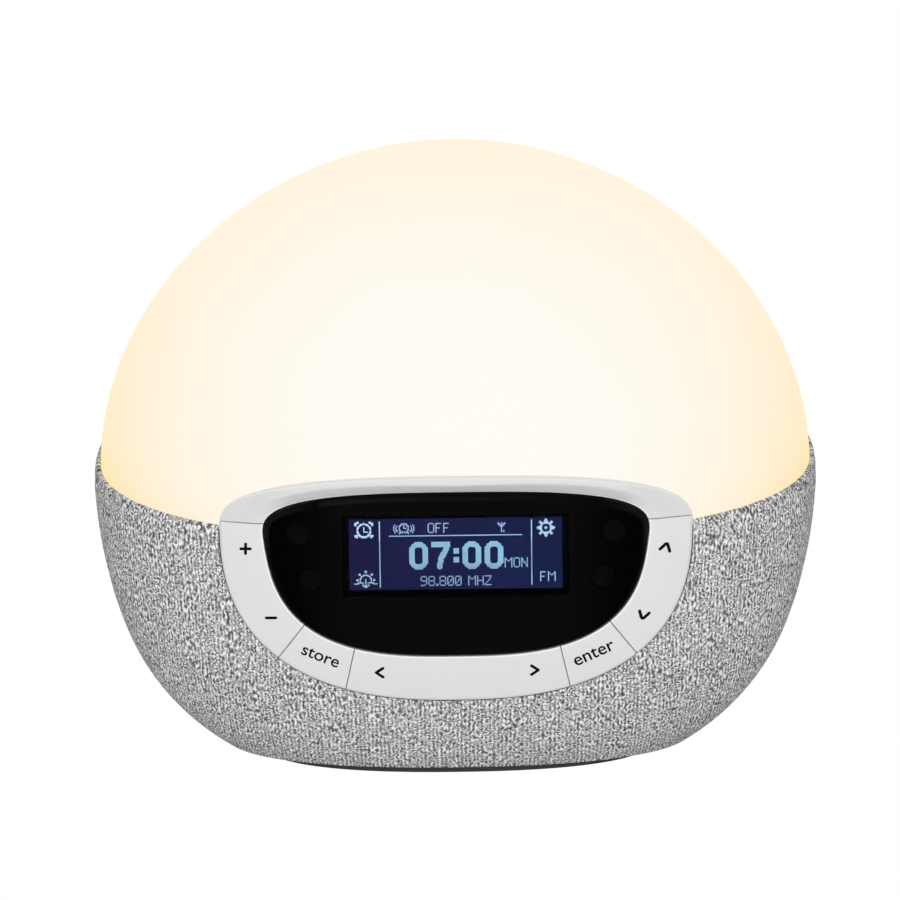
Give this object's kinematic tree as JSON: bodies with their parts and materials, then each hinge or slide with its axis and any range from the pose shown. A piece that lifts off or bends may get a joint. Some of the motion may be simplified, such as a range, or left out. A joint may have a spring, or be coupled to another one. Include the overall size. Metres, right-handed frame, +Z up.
{
  "type": "sunrise alarm clock",
  "caption": "Bedside light alarm clock: a wide opal dome over a cloth-covered drum, with a ring of rocking and push keys round an oval display.",
  "frame": {"origin": "middle of the footprint, at floor level, which is the bottom centre of the bounding box to within a millimetre", "axes": "+Z up, -Y towards the display side, +X to the right of someone who faces the display"},
  "size_m": [0.2101, 0.1188, 0.1799],
  "materials": {
    "dome": "milky opal, satin, lit from inside",
    "cloth": "woven melange speaker cloth, mid grey",
    "dark_plastic": "fine texture",
    "rubber": "matt",
    "steel": "zinc plated",
    "key_plastic": "satin light grey",
    "window": "glossy black lens",
    "silicone": "silicone",
    "circuit_board": "solder mask",
    "chip": "epoxy",
    "lcd": "blue ground, lit characters",
    "backlight": "light guide",
    "white_plastic": "white reflector",
    "aluminium": "milled",
    "white_board": "white solder mask",
    "led": "phosphor",
    "steel_sheet": "pressed sheet",
    "paper": "coated paper cone",
    "ferrite": "ferrite",
    "foam": "closed-cell foam",
    "capacitor": "sleeved can",
    "header_plastic": "nylon",
    "ribbon": "flat cable",
    "wire": "insulated wire",
    "socket_plastic": "moulded",
    "contact_metal": "nickel plated",
    "soft_key": "satin black"
  },
  "bodies": {
    "root": {"dome_diffuser": "dome", "cloth_cover": "cloth", "base_shell": "dark_plastic", "base_plate": "dark_plastic", "rubber_foot": "rubber", "base_screws": "steel", "panel_frame": "dark_plastic", "panel_screws": "steel", "hood": "key_plastic", "display_window": "window", "keypad_mat": "silicone", "control_board": "circuit_board", "board_screws": "steel", "control_chips": "chip", "lcd_glass": "lcd", "lcd_backlight": "backlight", "lcd_holder": "dark_plastic", "front_reflector": "white_plastic", "reflector_tray": "white_plastic", "tray_screws": "steel", "heat_spreader": "aluminium", "led_board": "white_board", "leds": "led", "led_screws": "steel", "speaker_basket": "steel_sheet", "speaker_cone": "paper", "speaker_magnet": "ferrite", "speaker_gasket": "foam", "speaker_screws": "steel", "main_board": "circuit_board", "main_board_screws": "steel", "main_chips": "chip", "capacitors": "capacitor", "radio_shield": "steel_sheet", "ribbon_headers": "header_plastic", "ribbon_cable": "ribbon", "wire_headers": "header_plastic", "lamp_wires": "wire", "speaker_wires": "wire", "connector_panel": "dark_plastic", "dc_socket": "socket_plastic", "dc_pin": "contact_metal", "aerial_gland": "rubber"},
    "plus_minus_key": {"plus_minus_key": "key_plastic"},
    "up_down_key": {"up_down_key": "key_plastic"},
    "left_right_key": {"left_right_key": "key_plastic"},
    "left_corner_key": {"left_corner_key": "key_plastic"},
    "right_corner_key": {"right_corner_key": "key_plastic"},
    "soft_key_upper_left": {"soft_key_upper_left": "soft_key"},
    "soft_key_upper_right": {"soft_key_upper_right": "soft_key"},
    "soft_key_lower_left": {"soft_key_lower_left": "soft_key"},
    "soft_key_lower_right": {"soft_key_lower_right": "soft_key"}
  },
  "joints": [
    {"name": "plus_minus_key_rock", "type": "hinge", "parent": "root", "child": "plus_minus_key", "pos_m": [-0.05795, -0.04743, 0.05961], "axis": [-0.9501, 0, -0.3118], "range_deg": [-2, 2], "stiffness_Nm_per_rad": 0.6, "deforming": ["keypad_mat"]},
    {"name": "up_down_key_rock", "type": "hinge", "parent": "root", "child": "up_down_key", "pos_m": [0.05795, -0.04743, 0.05961], "axis": [0.9501, 0, -0.3118], "range_deg": [-2, 2], "stiffness_Nm_per_rad": 0.6, "deforming": ["keypad_mat"]},
    {"name": "left_right_key_rock", "type": "hinge", "parent": "root", "child": "left_right_key", "pos_m": [0, -0.05011, 0.0342], "axis": [0, 0, 1], "range_deg": [-1.3, 1.3], "stiffness_Nm_per_rad": 1.2, "deforming": ["keypad_mat"]},
    {"name": "left_corner_key_press", "type": "slide", "parent": "root", "child": "left_corner_key", "axis": [0, 1, 0], "range_m": [0, 0.0006], "stiffness_N_per_m": 1200, "deforming": ["keypad_mat"]},
    {"name": "right_corner_key_press", "type": "slide", "parent": "root", "child": "right_corner_key", "axis": [0, 1, 0], "range_m": [0, 0.0006], "stiffness_N_per_m": 1200, "deforming": ["keypad_mat"]},
    {"name": "soft_key_upper_left_press", "type": "slide", "parent": "root", "child": "soft_key_upper_left", "axis": [0, 1, 0], "range_m": [0, 0.0005], "stiffness_N_per_m": 1200, "deforming": ["keypad_mat"]},
    {"name": "soft_key_upper_right_press", "type": "slide", "parent": "root", "child": "soft_key_upper_right", "axis": [0, 1, 0], "range_m": [0, 0.0005], "stiffness_N_per_m": 1200, "deforming": ["keypad_mat"]},
    {"name": "soft_key_lower_left_press", "type": "slide", "parent": "root", "child": "soft_key_lower_left", "axis": [0, 1, 0], "range_m": [0, 0.0005], "stiffness_N_per_m": 1200, "deforming": ["keypad_mat"]},
    {"name": "soft_key_lower_right_press", "type": "slide", "parent": "root", "child": "soft_key_lower_right", "axis": [0, 1, 0], "range_m": [0, 0.0005], "stiffness_N_per_m": 1200, "deforming": ["keypad_mat"]}
  ]
}
